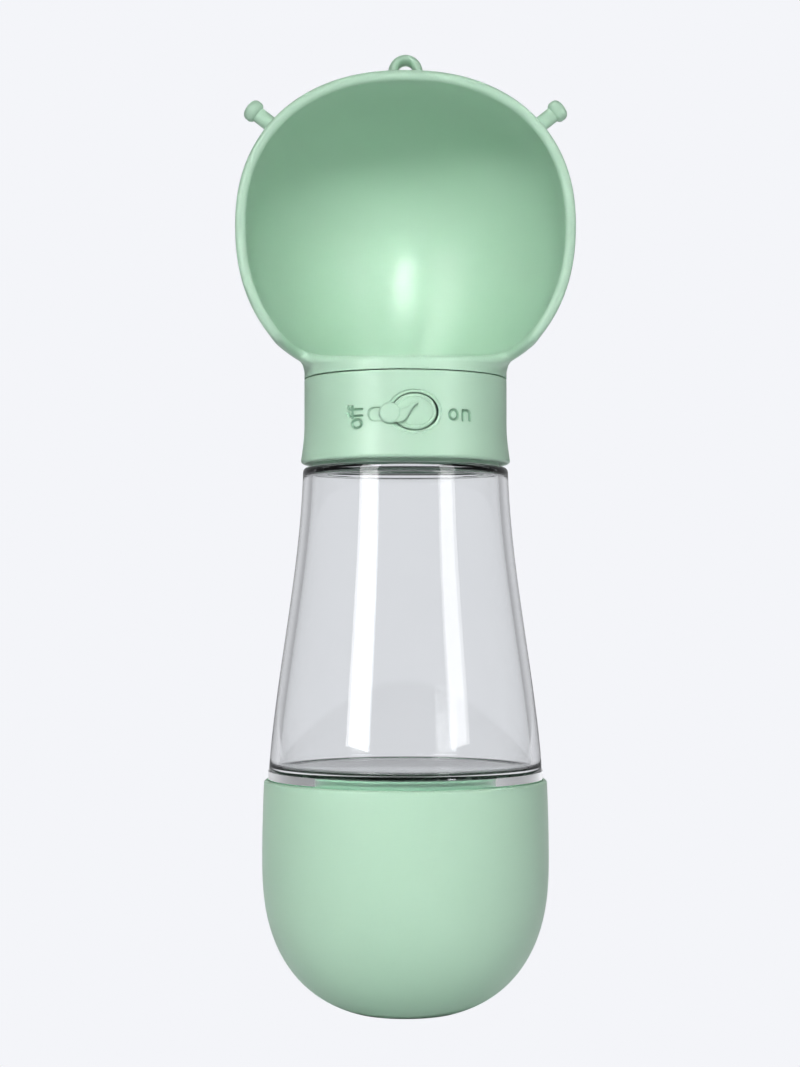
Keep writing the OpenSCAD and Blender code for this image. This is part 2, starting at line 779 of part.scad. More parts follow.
// A peg with a rounded head, pressed against the bowl's side
module horn(side) color(mint)
    difference() {
        translate([side * peg_x, -front_y + peg_depth, peg_z])
            rotate([0, side * (90 - peg_angle), 0]) {
                rotate_extrude()
                    polygon(concat([[0, -peg_head_t / 2]],
                        arc(peg_head_r - 1.4, -peg_head_t / 2 + 1.4, 1.4, -90, 0),
                        arc(peg_head_r - 1.7, peg_head_t / 2 - 1.7, 1.7, 0, 90),
                        [[0, peg_head_t / 2]]));
                translate([0, 0, -peg_l - peg_root])
                    cylinder(r = peg_r, h = peg_l + peg_root - 1);
            }
        for (i = [len(bowl_levels) - 8:len(bowl_levels) - 4])
            bowl_slab(bowl_levels[i], bowl_levels[i + 1], 0);
    }

module horn_left() horn(-1);
module horn_right() horn(1);

// A round deep eye that stands on the bowl's top, behind the rim
module carry_eye() color(mint)
    difference() {
        translate([0, eye_y, eye_z])
            rotate([90, 0, 0])
                difference() {
                    rotate_extrude()
                        translate([eye_r, 0])
                            scale([1, eye_stretch])
                                circle(r = eye_bar_r, $fn = 48);
                    translate([0, 0, -5])
                        cylinder(r = eye_hole_r, h = 10);
                }
        for (i = [len(bowl_levels) - 5:len(bowl_levels) - 2])
            bowl_slab(bowl_levels[i], bowl_levels[i + 1], 0);
    }

food_cup();
cup_gasket();
bottle_base();
bottle_shell();
neck_gasket();
collar();
valve_housing();
housing_screws();
stem_guide();
valve_spring();
valve_stem();
stem_wedge();
valve_plug();
push_button();
push_rod();
rod_seal();
rod_gland();
lock_slider();
slider_clip();
outlet_plate();
chamber_seal();
outlet_grille();
drinking_bowl();
horn_left();
horn_right();
carry_eye();
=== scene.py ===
import json
import math

import bpy
import numpy as np
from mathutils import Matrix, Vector


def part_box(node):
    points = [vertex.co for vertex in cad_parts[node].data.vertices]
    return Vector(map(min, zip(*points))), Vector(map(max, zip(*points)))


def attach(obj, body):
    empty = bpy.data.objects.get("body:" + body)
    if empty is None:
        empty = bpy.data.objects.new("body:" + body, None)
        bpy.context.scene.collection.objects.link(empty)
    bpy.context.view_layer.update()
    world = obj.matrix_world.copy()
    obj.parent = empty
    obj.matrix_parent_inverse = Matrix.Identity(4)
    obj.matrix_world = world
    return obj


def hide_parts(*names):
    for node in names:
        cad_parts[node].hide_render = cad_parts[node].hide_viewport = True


# Dog travel water bottle: smooth skins for the cup, the bottle, the collar, the switch and the bowl,
# and the finish of every piece

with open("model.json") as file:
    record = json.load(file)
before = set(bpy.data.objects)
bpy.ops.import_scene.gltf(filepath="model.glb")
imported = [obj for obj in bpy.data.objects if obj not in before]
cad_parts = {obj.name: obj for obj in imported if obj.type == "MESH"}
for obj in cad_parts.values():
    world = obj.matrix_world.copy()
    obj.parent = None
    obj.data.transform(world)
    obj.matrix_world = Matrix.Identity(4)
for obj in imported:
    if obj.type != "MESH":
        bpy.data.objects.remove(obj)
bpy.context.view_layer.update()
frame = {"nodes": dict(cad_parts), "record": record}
bpy.ops.object.select_all(action="DESELECT")

MM = 0.001

# The photograph's camera: its picture's size, horizon, axis and focal length in pixels, and its place
PHOTO_W, PHOTO_H = 800, 1067
HORIZON_PX = 606
AXIS_PX = 405.5
FOCAL_PX = 2084
EYE_Z = 112.4 * MM
EYE_Y = -583 * MM

# Stations of the model, read from the frame
collar_low, collar_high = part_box("collar")
bowl_low, bowl_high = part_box("drinking_bowl")

# Bowl, as its solid is drawn: UP and DOWN run from its widest height, FULL squares its outline
BOWL_Z = bowl_low.z
BOWL_TOP = bowl_high.z
BOWL_HALF = bowl_high.x
BOWL_UP = 41.4 * MM
BOWL_MID_Z = BOWL_TOP - BOWL_UP
BOWL_DOWN = 44.5 * MM
BOWL_FULL = 2.25
BOWL_WALL = 2.4 * MM
BOWL_BACK_Z = BOWL_Z + 36 * MM
NECK_R = 28.25 * MM
BLEND_LOW = BOWL_Z + 1.8 * MM
BLEND_HIGH = BOWL_Z + 10.3 * MM
FRONT_Y = bowl_low.y
LIP_Z = BOWL_Z + 3.5 * MM
RIM_W = 2.9 * MM
CORNER_R = 14 * MM

# Cup, with the curve of its round end and the thread that it shares with the bottle's spigot
CUP_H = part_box("food_cup")[1].z
CUP_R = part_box("food_cup")[1].x
CUP_WALL = 3 * MM
CUP_WAIST = 42 * MM
CUP_FULL = 2.45
CUP_DRAW = 0.5 * MM
FOOT_R = 16 * MM
RIM_ROUND = 0.8 * MM
CUP_LEDGE_Z = CUP_H - 1.2 * MM
CUP_IN_R = CUP_R - CUP_DRAW - 2.5 * MM
CUP_BORE_LOW = CUP_H - 18 * MM
CUP_LEAD = 8 * MM
CUP_RIDGE_W = 1.9 * MM
CUP_THREAD_RUN = 4.6 * MM
RIDGE_H = 0.9 * MM

# Bottle
shell_low, shell_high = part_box("bottle_shell")
BOTTLE_Z = shell_low.z
BOTTLE_R = shell_high.x
BOTTLE_WALL = 2.6 * MM
NECK_TOP = shell_high.z
SHOULDER_Z = NECK_TOP - 6.2 * MM
SHOULDER_R = 28.6 * MM
NECK_OUT = 24.2 * MM
NECK_IN = NECK_OUT - BOTTLE_WALL
NECK_LEAD = 6 * MM
NECK_RIDGE_W = 1.5 * MM
NECK_THREAD_LOW = SHOULDER_Z + 1.0 * MM
NECK_THREAD_RUN = 3.2 * MM
SPIGOT_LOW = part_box("bottle_base")[0].z
SPIGOT_R = 35.5 * MM
CUP_THREAD_LOW = SPIGOT_LOW + 1.6 * MM

# Green ring, which rises into a groove of the bottle's foot
ring_low, ring_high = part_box("cup_gasket")
GASKET_LOW = ring_low.z
GASKET_OUT = ring_high.x
GASKET_IN = GASKET_OUT - 0.9 * MM
GASKET_TOP = BOTTLE_Z + 2.1 * MM
GASKET_GAP = 0.1 * MM

# Collar and its switch
COLLAR_R = NECK_R
COLLAR_FLARE = 0.95 * MM
COLLAR_Z = collar_low.z
SEAM_Z = collar_high.z
COLLAR_TOP_BORE = 26.15 * MM
LEDGE_R = 24.6 * MM
LEDGE_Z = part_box("valve_housing")[0].z
PLATE_TOP = LEDGE_Z + 2 * MM
COLLAR_BORE = 25.5 * MM
SWITCH_Z = COLLAR_Z + 12.0 * MM
SLOT_Z = SWITCH_Z - 0.4 * MM
BUTTON_X = 2.5 * MM
BUTTON_Z = SWITCH_Z + 0.3 * MM
BUTTON_RX = 6.1 * MM
BUTTON_RZ = 4.85 * MM
BUTTON_GAP = 0.28 * MM
BAND_W = 0.8 * MM
KNOB_X = -4.1 * MM
KNOB_Z = SWITCH_Z - 0.15 * MM
KNOB_R = 2.8 * MM
LOCK_LOW = COLLAR_R + 0.12 * MM
LATCH_X = -3.9 * MM
POCKET_X = -8.4 * MM
POCKET_R = 1.85 * MM


class Value:
    """An output of a shader node, on which Python's operators add Math nodes."""

    def __init__(self, finish, socket):
        self.finish = finish
        self.socket = socket

    def __add__(self, other):
        return self.finish.maths("ADD", self, other)

    def __sub__(self, other):
        return self.finish.maths("SUBTRACT", self, other)

    def __mul__(self, other):
        return self.finish.maths("MULTIPLY", self, other)

    def __radd__(self, other):
        return self.finish.maths("ADD", other, self)

    def __rsub__(self, other):
        return self.finish.maths("SUBTRACT", other, self)

    def __rmul__(self, other):
        return self.finish.maths("MULTIPLY", other, self)


class Finish:
    """One material or world, made node by node."""

    def __init__(self, name, world=None):
        self.material = world or bpy.data.materials.new(name)
        self.glow = "ShaderNodeBackground" if world else "ShaderNodeEmission"
        self.end = "ShaderNodeOutputWorld" if world else "ShaderNodeOutputMaterial"
        self.material.use_nodes = True
        self.tree = self.material.node_tree
        self.tree.nodes.clear()
        self.place = None

    def node(self, kind, inputs=None, output=0, **settings):
        """A node with its settings, then its sockets' values or links. Gives one of its outputs."""
        made = self.tree.nodes.new(kind)
        for key, value in settings.items():
            setattr(made, key, value)
        for key, value in (inputs or {}).items():
            if isinstance(value, Value):
                self.tree.links.new(value.socket, made.inputs[key])
            else:
                made.inputs[key].default_value = value
        return Value(self, made.outputs[output]) if made.outputs else None

    def maths(self, operation, first, second):
        return self.node("ShaderNodeMath", {0: first, 1: second}, operation=operation)

    def socket(self, value, name):
        """Another output of the same node."""
        return Value(self, value.socket.node.outputs[name])

    def noise(self, scale, detail, rough):
        """A noise on the piece's own coordinates, which are in metres."""
        if self.place is None:
            self.place = self.node("ShaderNodeTexCoord", output="Object")
        return self.node("ShaderNodeTexNoise", {"Vector": self.place, "Scale": scale,
                                                "Detail": detail, "Roughness": rough})

    def mix(self, share, first, second):
        """A colour between two others. The Mix node's colours are its sockets 6 and 7."""
        return self.node("ShaderNodeMix", {0: share, 6: first, 7: second}, output=2, data_type="RGBA")

    def finish(self, shader):
        self.node(self.end, {"Surface": shader})
        return self.material


def colour(red, green, blue):
    """An sRGB colour from 0 to 255 as the linear one that a socket takes."""
    def linear(value):
        share = value / 255
        return share / 12.92 if share <= 0.04045 else ((share + 0.055) / 1.055) ** 2.4
    return (linear(red), linear(green), linear(blue), 1)


# The point attribute that darkens the engraved words with painted shade, and the colour of that painted
# shade in their ground
PAINTED_SHADE_ATTRIBUTE = "painted_engraving_shade"
PAINTED_SHADE_COLOUR = colour(104, 152, 122)


def moulded(name, light, dark, rough, grain=0.02):
    """Satin moulded plastic: a faint cloudiness, a fine spark eroded grain and a slow change of sheen.

    It is darker, with painted shade, where the piece's attribute says that its surface is sunk in the
    engraved words."""
    f = Finish(name)
    cloud = f.noise(38, 3, 0.55)
    # Painted shade: the attribute mixes the tint towards a darker colour inside the engraved words
    hollow = f.node("ShaderNodeAttribute", output="Fac", attribute_name=PAINTED_SHADE_ATTRIBUTE)
    tint = f.mix(hollow * 0.8, f.mix(cloud, dark, light), PAINTED_SHADE_COLOUR)
    sheen = f.noise(95, 2, 0.5)
    fine = f.noise(5200, 2, 0.6)
    bump = f.node("ShaderNodeBump", {"Strength": grain, "Distance": 0.0002, "Height": fine})
    return f.finish(f.node("ShaderNodeBsdfPrincipled", {
        "Base Color": tint, "Roughness": sheen * 0.10 + (rough - 0.05), "Normal": bump,
        "Specular IOR Level": 0.55}))


def clear_plastic(name):
    """Polished clear copolyester with a trace of grey."""
    f = Finish(name)
    haze = f.noise(60, 2, 0.5)
    return f.finish(f.node("ShaderNodeBsdfPrincipled", {
        "Base Color": f.mix(haze, (0.955, 0.962, 0.965, 1), (0.93, 0.94, 0.945, 1)),
        "Roughness": haze * 0.012, "IOR": 1.5, "Transmission Weight": 1.0}))


def rubber(name, light, dark, rough):
    """Matt rubber with a fine mould texture."""
    f = Finish(name)
    cloud = f.noise(120, 2, 0.5)
    fine = f.noise(3000, 2, 0.5)
    bump = f.node("ShaderNodeBump", {"Strength": 0.08, "Distance": 0.0001, "Height": fine})
    return f.finish(f.node("ShaderNodeBsdfPrincipled", {
        "Base Color": f.mix(cloud, dark, light), "Roughness": cloud * 0.1 + (rough - 0.05),
        "Normal": bump}))


def drawn_steel(name):
    """Drawn stainless steel wire, with a fine change of sheen."""
    f = Finish(name)
    streak = f.noise(2400, 3, 0.6)
    return f.finish(f.node("ShaderNodeBsdfPrincipled", {
        "Base Color": f.mix(streak, (0.55, 0.56, 0.57, 1), (0.70, 0.71, 0.72, 1)),
        "Metallic": 1.0, "Roughness": streak * 0.18 + 0.2}))


# One finish for each material slot of the record
FINISHES = {
    "mint_plastic": moulded("mint_plastic", colour(178, 212, 187), colour(174, 209, 184), 0.33),
    "clear_plastic": clear_plastic("clear_plastic"),
    "inner_plastic": moulded("inner_plastic", colour(170, 210, 186), colour(160, 202, 177), 0.5, 0.05),
    "white_acetal": moulded("white_acetal", colour(232, 235, 231), colour(222, 226, 221), 0.38, 0.03),
    "silicone": rubber("silicone", colour(232, 238, 233), colour(220, 228, 222), 0.45),
    "green_silicone": rubber("green_silicone", colour(150, 200, 168), colour(138, 190, 157), 0.5),
    "nitrile": rubber("nitrile", colour(44, 48, 46), colour(34, 37, 35), 0.4),
    "stainless": drawn_steel("stainless"),
}


def give(piece, slot):
    """The finish of a slot, on every face of a piece."""
    piece.data.materials.clear()
    piece.data.materials.append(FINISHES[slot])


# Every solid of the frame takes the finish that its record names
for part in frame["record"]["subparts"]:
    give(frame["nodes"][part["node"]], part["material_slot"])


# Shapes


def pick(*pieces):
    """Selects these pieces alone, with the first one active."""
    bpy.ops.object.select_all(action="DESELECT")
    for piece in pieces:
        piece.select_set(True)
    bpy.context.view_layer.objects.active = pieces[0]


def mix(first, second, share):
    """A value between two others."""
    return first + (second - first) * share


def smooth(share):
    """A soft step from 0 to 1."""
    t = np.clip(share, 0, 1)
    return t * t * (3 - 2 * t)


def round_off(share, fullness):
    """Half width of a squared circle at a share of its height, where a fullness of 2 is a circle."""
    return np.maximum(0, 1 - np.abs(share) ** fullness) ** (1 / fullness)


def skin(name, rows, columns, place, slot):
    """A grid primitive wrapped round: place(row, column) gives each of its points, column by column.

    Rows run from one end of the skin to the other and the columns round it."""
    bpy.ops.object.select_all(action="DESELECT")
    bpy.ops.mesh.primitive_grid_add(x_subdivisions=columns, y_subdivisions=rows - 1, size=2)
    piece = bpy.context.object
    piece.name = name
    piece.data.name = name
    flat = np.empty(len(piece.data.vertices) * 3)
    piece.data.vertices.foreach_get("co", flat)
    flat = flat.reshape(-1, 3)
    column = np.rint((flat[:, 0] + 1) / 2 * columns).astype(int)
    row = np.rint((flat[:, 1] + 1) / 2 * (rows - 1)).astype(int)
    piece.data.vertices.foreach_set("co", place(row, column % columns).reshape(-1))
    bpy.ops.object.mode_set(mode="EDIT")
    bpy.ops.mesh.select_all(action="SELECT")
    bpy.ops.mesh.remove_doubles(threshold=0.000004)
    bpy.ops.mesh.normals_make_consistent(inside=False)
    bpy.ops.object.mode_set(mode="OBJECT")
    return dress(piece, slot)


def dress(piece, slot):
    """Smooth shading up to 40 degrees, the slot's finish and its name for the record."""
    pick(piece)
    bpy.ops.object.shade_smooth_by_angle(angle=math.radians(40))
    give(piece, slot)
    return piece


# The bowl: a level section runs from the round neck to a deep D whose flat side is the opening


def bowl_half(z, inset):
    """Half width of the bowl's outline at a height."""
    reach = np.where(z > BOWL_MID_Z, BOWL_UP, BOWL_DOWN) - inset
    return (BOWL_HALF - inset) * round_off((z - BOWL_MID_Z) / reach, BOWL_FULL)


def bowl_section(z, inset):
    """Middle, half width, depth in front and depth behind of the section at a height."""
    share = smooth((z - BLEND_LOW) / (BLEND_HIGH - BLEND_LOW))
    middle = -NECK_R * share
    half = mix(NECK_R - inset, bowl_half(z, inset), share)
    rise = np.clip((z - BOWL_BACK_Z) / (BOWL_TOP - inset - BOWL_BACK_Z), 0, 1)
    back = -NECK_R + (2 * NECK_R - inset) * round_off(rise, 2) - middle
    front = NECK_R + middle - inset - (FRONT_Y + NECK_R) * share
    return middle, half, np.maximum(front, 0.05 * MM), back


def bowl_inside(point, inset):
    """Below 1 inside the bowl's form and above 1 outside it."""
    x, y, z = point[..., 0], point[..., 1], point[..., 2]
    middle, half, front, back = bowl_section(z, inset)
    depth = np.where(y > middle, back, front)
    form = (x / np.maximum(half, 1e-7)) ** 2 + ((y - middle) / np.maximum(depth, 1e-7)) ** 2
    beyond = (z > BOWL_TOP - inset) | (z < BOWL_Z - 12 * MM)
    return np.where(beyond, 9.0, form)


def outward(point, inset):
    """Unit normal of the bowl's form."""
    step = 0.02 * MM
    slope = np.stack([bowl_inside(point + step * axis, inset) - bowl_inside(point - step * axis, inset)
                      for axis in np.eye(3)], axis=-1)
    return slope / np.linalg.norm(slope, axis=-1, keepdims=True)


def cast(centre, direction, inset):
    """Where rays from the bowl's middle meet its form, found by halving each ray."""
    reach = 90 * MM
    halvings = 34
    near = np.zeros(direction.shape[:-1])
    far = np.full(direction.shape[:-1], reach)
    for _ in range(halvings):
        middle = (near + far) / 2
        inside = bowl_inside(centre + direction * middle[..., None], inset) < 1
        near = np.where(inside, middle, near)
        far = np.where(inside, far, middle)
    return centre + direction * near[..., None]


def opening_outline(count):
    """Points of the opening as seen from the front, evenly spaced, with a level lip and round corners."""
    outline_points = 2400
    corner_points = 60
    across = BOWL_HALF - RIM_W
    around = np.linspace(0, 2 * math.pi, outline_points, endpoint=False)
    up = np.where(np.sin(around) > 0, BOWL_UP - RIM_W, BOWL_DOWN - RIM_W)
    power = 2 / BOWL_FULL
    x = across * np.sign(np.cos(around)) * np.abs(np.cos(around)) ** power
    z = BOWL_MID_Z + up * np.sign(np.sin(around)) * np.abs(np.sin(around)) ** power
    # The round corner's middle is one corner radius inside both the outline and the lip
    slope = np.gradient(np.stack([x, z]), axis=1)
    slope /= np.linalg.norm(slope, axis=0)
    inner_x = x - slope[1] * CORNER_R
    inner_z = z + slope[0] * CORNER_R
    right = (x > 0) & (z < BOWL_MID_Z)
    turn = np.argmin(np.where(right, np.abs(inner_z - (LIP_Z + CORNER_R)), 1))
    corner_x = inner_x[turn]
    end = math.atan2(-slope[0][turn], slope[1][turn])
    bend = np.linspace(-math.pi / 2, end, corner_points)
    lip_x = np.linspace(0, corner_x, corner_points)[:-1]
    keep = (x > 0) & (z > z[turn])
    order = np.argsort(z[keep])
    right_x = np.concatenate([lip_x, corner_x + CORNER_R * np.cos(bend), x[keep][order]])
    right_z = np.concatenate([np.full(len(lip_x), LIP_Z), LIP_Z + CORNER_R * (1 + np.sin(bend)),
                              z[keep][order]])
    loop = np.stack([np.concatenate([right_x, -right_x[::-1]]), np.concatenate([right_z, right_z[::-1]])],
                    axis=1)
    closed = np.concatenate([loop, loop[:1]])
    run = np.concatenate([[0], np.cumsum(np.linalg.norm(np.diff(closed, axis=0), axis=1))])
    at = np.linspace(0, run[-1], count, endpoint=False)
    return np.stack([np.interp(at, run, closed[:, 0]), np.interp(at, run, closed[:, 1])], axis=1)


def round_average(values, times):
    """Evens out a closed run of values."""
    for _ in range(times):
        values = (np.roll(values, 1, axis=0) + 2 * values + np.roll(values, -1, axis=0)) / 4
    return values


def drinking_bowl():
    """Outer wall, rounded rim and inner wall of the bowl in one skin, before its neck is cut.

    The rim's bead is drawn as the camera sees it, so it is carried out along the camera's rays."""
    columns = 176
    wall_rows = 58
    inset_rows = 12
    shift_rows = 7
    bead_rows = 11
    bead_r = RIM_W / 2
    edge = round_average(opening_outline(columns), 4)
    along = np.roll(edge, -1, axis=0) - np.roll(edge, 1, axis=0)
    along /= np.linalg.norm(along, axis=1, keepdims=True)
    away = np.stack([along[:, 1], -along[:, 0]], axis=1)
    seen = edge + away * bead_r
    # The bead's middle, brought to the depth at which the bowl's form lies there
    eye = np.array([0, EYE_Z])
    y = np.full(columns, FRONT_Y + bead_r)
    for _ in range(8):
        scale = (y - EYE_Y) / (FRONT_Y + bead_r - EYE_Y)
        middle_xz = eye + (seen - eye) * scale[:, None]
        middle, half, front, _ = bowl_section(middle_xz[:, 1], bead_r)
        share = np.clip(1 - (middle_xz[:, 0] / np.maximum(half, 1e-6)) ** 2, 0, 1)
        y = np.maximum(middle - front * np.sqrt(share), FRONT_Y + bead_r)
        y = round_average(y, 3)
    bead = np.stack([middle_xz[:, 0], y, middle_xz[:, 1]], axis=1)
    # At each place of the bead: along it, out of the bowl's wall, and towards its free edge
    tangent = np.roll(bead, -1, axis=0) - np.roll(bead, 1, axis=0)
    tangent /= np.linalg.norm(tangent, axis=1, keepdims=True)
    normal = outward(bead + np.array([0, 0.01 * MM, 0]), bead_r)
    normal = round_average(normal, 3)
    normal -= tangent * np.sum(normal * tangent, axis=1, keepdims=True)
    normal /= np.linalg.norm(normal, axis=1, keepdims=True)
    edgeward = np.cross(tangent, normal)
    edgeward *= -np.sign(np.sum(edgeward[:, 1]))
    centre = np.array([0, -12 * MM, BOWL_Z + 30 * MM])

    def wall(first, inset_near, inset_far):
        """One wall's rows from the rim's bead, which it leaves softly, to the middle of the back."""
        from_centre = first - centre
        azimuth = np.arctan2(from_centre[:, 2], from_centre[:, 0])
        tilt = np.arctan2(np.hypot(from_centre[:, 0], from_centre[:, 2]), -from_centre[:, 1])
        rows = []
        shift = None
        for index in range(wall_rows):
            run = index / (wall_rows - 1)
            angle = mix(tilt, math.pi, run)
            direction = np.stack([np.sin(angle) * np.cos(azimuth), -np.cos(angle),
                                  np.sin(angle) * np.sin(azimuth)], axis=1)
            inset = mix(inset_near, inset_far, smooth(index / inset_rows))
            hit = cast(centre, direction, inset)
            if shift is None:
                shift = first - hit
            rows.append(hit + shift * (1 - smooth(index / shift_rows)))
        return rows

    outer = wall(bead + normal * bead_r, 0, 0)
    inner = wall(bead - normal * bead_r, RIM_W, BOWL_WALL)
    lip = []
    for index in range(1, bead_rows):
        turn = math.pi * index / bead_rows
        lip.append(bead + bead_r * (math.cos(turn) * normal + math.sin(turn) * edgeward))
    grid = np.array(outer[::-1] + lip + inner)
    return skin("bowl_skin", len(grid), columns, lambda row, column: grid[row, column], "mint_plastic")


def cut_neck(bowl):
    """Takes away what hangs below the bowl's neck and closes the ring between its two walls."""
    pick(bowl)
    bpy.ops.object.mode_set(mode="EDIT")
    bpy.ops.mesh.select_all(action="SELECT")
    bpy.ops.mesh.bisect(plane_co=(0, 0, BOWL_Z), plane_no=(0, 0, 1), clear_inner=True, threshold=0.00001)
    bpy.ops.mesh.select_all(action="DESELECT")
    bpy.ops.mesh.select_mode(type="EDGE")
    bpy.ops.mesh.select_non_manifold()
    bpy.ops.mesh.bridge_edge_loops()
    bpy.ops.mesh.select_all(action="SELECT")
    bpy.ops.mesh.normals_make_consistent(inside=False)
    bpy.ops.object.mode_set(mode="OBJECT")
    return dress(bowl, "mint_plastic")


bowl = cut_neck(drinking_bowl())
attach(bowl, "head")
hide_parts("drinking_bowl")


# The cup and the bottle, turned from their sections


def curve(middle_x, middle_z, half_x, half_z, start, end, count=16):
    """Points of an oval between two angles in degrees."""
    turns = np.radians(np.linspace(start, end, count + 1))
    return list(zip(middle_x + half_x * np.cos(turns), middle_z + half_z * np.sin(turns)))


def arc(middle_r, middle_z, radius, start, end, count=8):
    """Points of a rounded edge between two angles in degrees."""
    return curve(middle_r, middle_z, radius, radius, start, end, count)


def steps(start, end, count):
    """Points on a straight line, without its first."""
    share = np.linspace(0, 1, count + 1)[1:, None]
    return [tuple(p) for p in mix(np.array(start), np.array(end), share)]


def turned(name, profile, columns, slot, ridges=None):
    """A skin of revolution; ridges(radius, z, turn) gives the radius where a wall has a thread."""
    section = np.array(profile)

    def place(row, column):
        turn = column * 2 * math.pi / columns
        radius, z = section[row, 0], section[row, 1]
        if ridges:
            radius = ridges(radius, z, turn)
        return np.stack([radius * np.sin(turn), -radius * np.cos(turn), z], axis=-1)

    return skin(name, len(section), columns, place, slot)


def helix_ridge(z, turn, start_z, run, lead, width):
    """Height of a two start thread at each place, which runs out softly at both ends."""
    pitch = lead / 2
    fade = 1.2 * MM
    offset = (z - start_z - lead * turn / (2 * math.pi) + pitch / 2) % pitch - pitch / 2
    crest = smooth((width / 2 - np.abs(offset)) / (width * 0.3))
    return RIDGE_H * crest * smooth((z - start_z) / fade) * smooth((start_z + run - z) / fade)


def cup_thread(z, turn):
    return helix_ridge(z, turn, CUP_THREAD_LOW, CUP_THREAD_RUN, CUP_LEAD, CUP_RIDGE_W)


def neck_thread(z, turn):
    return helix_ridge(z, turn, NECK_THREAD_LOW, NECK_THREAD_RUN, NECK_LEAD, NECK_RIDGE_W)


def at_radius(radius, wall):
    """Where a place of a section lies on a straight wall."""
    return np.abs(radius - wall) < 0.01 * MM


def round_end(radius, height, turns):
    """Points of the cup's squared round end, which hangs from its widest place."""
    power = 2 / CUP_FULL
    return list(zip(radius * np.cos(turns) ** power, CUP_WAIST - height * np.sin(turns) ** power))


def cup_skin():
    """Flat foot, round end, drawn-in side, rim with its ledge, threaded bore and round inside."""
    foot = math.acos((FOOT_R / CUP_R) ** (CUP_FULL / 2))
    dome_h = CUP_WAIST / math.sin(foot) ** (2 / CUP_FULL)
    section = [(0, 0), (FOOT_R * 0.9, 0)]
    section += round_end(CUP_R, dome_h, np.linspace(foot, 0, 60))
    rise = np.linspace(0, 1, 13)[1:]
    section += list(zip(CUP_R - CUP_DRAW * rise ** 2, mix(CUP_WAIST, CUP_H - RIM_ROUND, rise)))
    rim_r = CUP_R - CUP_DRAW
    section += arc(rim_r - RIM_ROUND, CUP_H - RIM_ROUND, RIM_ROUND, 10, 90)
    ledge_r = rim_r - 1.1 * MM
    section += [(ledge_r, CUP_H), (ledge_r, CUP_LEDGE_Z), (CUP_IN_R, CUP_LEDGE_Z)]
    section += steps((CUP_IN_R, CUP_LEDGE_Z), (CUP_IN_R, CUP_BORE_LOW), 40)
    section += round_end(CUP_R - CUP_WALL, CUP_WAIST - CUP_WALL, np.linspace(0, math.pi / 2, 40))

    def ridges(radius, z, turn):
        bore = at_radius(radius, CUP_IN_R) & (z < CUP_LEDGE_Z - 0.1 * MM)
        return np.where(bore, radius - cup_thread(z, turn + math.pi / 2), radius)

    return turned("cup_skin", section, 192, "mint_plastic", ridges)


def bottle_curve(share):
    """Radius of the bottle's side from its foot to its shoulder, a cubic with a slope at each end."""
    fall = 2 * share ** 3 - 3 * share ** 2 + 1
    foot_slope = share ** 3 - 2 * share ** 2 + share
    top_slope = share ** 3 - share ** 2
    return SHOULDER_R + (BOTTLE_R - SHOULDER_R) * (fall - 0.6 * foot_slope - 0.2 * top_slope)


def bottle_skin():
    """Shell, welded base and threaded spigot, which the eye sees as one clear piece."""
    height = SHOULDER_Z - BOTTLE_Z
    foot_round = 0.8 * MM
    shoulder_round = 1.3 * MM
    neck_root = 0.6 * MM
    neck_round = 0.5 * MM
    spigot_round = 0.4 * MM
    fillet = 1.4 * MM
    corner = 1.2 * MM
    roof = SHOULDER_Z - 1.8 * MM
    base_low = BOTTLE_Z + 1.8 * MM
    base_top = BOTTLE_Z + 3 * MM
    shelf_low = BOTTLE_Z - 1.5 * MM
    disc_r = 29 * MM
    spigot_in = SPIGOT_R - 2.3 * MM
    section = [(0, base_low), (disc_r, base_low), (disc_r, shelf_low)]
    section += [(spigot_in, shelf_low)] + steps((spigot_in, shelf_low), (spigot_in, SPIGOT_LOW), 4)
    section += arc(SPIGOT_R - spigot_round, SPIGOT_LOW + spigot_round, spigot_round, -90, 0, 4)
    section += steps((SPIGOT_R, SPIGOT_LOW + 0.5 * MM), (SPIGOT_R, BOTTLE_Z), 46)
    groove_in = GASKET_IN - GASKET_GAP
    groove_out = GASKET_OUT + GASKET_GAP
    groove_top = GASKET_TOP + GASKET_GAP
    section += [(groove_in, BOTTLE_Z), (groove_in, groove_top)]
    section += [(groove_out, groove_top), (groove_out, BOTTLE_Z)]
    foot_r = bottle_curve(foot_round / height)
    section += arc(foot_r - foot_round, BOTTLE_Z + foot_round, foot_round, -90, 0)
    share = np.linspace(foot_round / height, 1 - shoulder_round / height, 90)[1:]
    section += list(zip(bottle_curve(share), BOTTLE_Z + height * share))
    section += arc(SHOULDER_R - shoulder_round, SHOULDER_Z - shoulder_round, shoulder_round, 8, 90)
    section += arc(NECK_OUT + neck_root, SHOULDER_Z + neck_root, neck_root, -90, -180, 4)
    section += steps((NECK_OUT, SHOULDER_Z + neck_root), (NECK_OUT, NECK_TOP - neck_round), 34)
    section += arc(NECK_OUT - neck_round, NECK_TOP - neck_round, neck_round, 0, 90, 4)
    section += arc(NECK_IN + neck_round, NECK_TOP - neck_round, neck_round, 90, 180, 4)
    section += [(NECK_IN, roof + 0.4 * MM), (NECK_IN + 0.4 * MM, roof)]
    turn_z = roof - corner
    turn_r = bottle_curve((turn_z - BOTTLE_Z) / height) - BOTTLE_WALL
    section += arc(turn_r - corner, turn_z, corner, 90, 0)
    share = np.linspace((turn_z - BOTTLE_Z) / height, (base_top + fillet - BOTTLE_Z) / height, 90)[1:]
    section += list(zip(bottle_curve(share) - BOTTLE_WALL, BOTTLE_Z + height * share))
    section += arc(section[-1][0] - fillet, base_top + fillet, fillet, -4, -90, 10)
    section += [(0, base_top)]

    def ridges(radius, z, turn):
        on_spigot = at_radius(radius, SPIGOT_R) & (z < BOTTLE_Z)
        on_neck = at_radius(radius, NECK_OUT) & (z > SHOULDER_Z)
        ridge = np.where(on_spigot, cup_thread(z, turn), 0)
        return radius + ridge + np.where(on_neck, neck_thread(z, turn), 0)

    return turned("bottle_skin", section, 192, "clear_plastic", ridges)


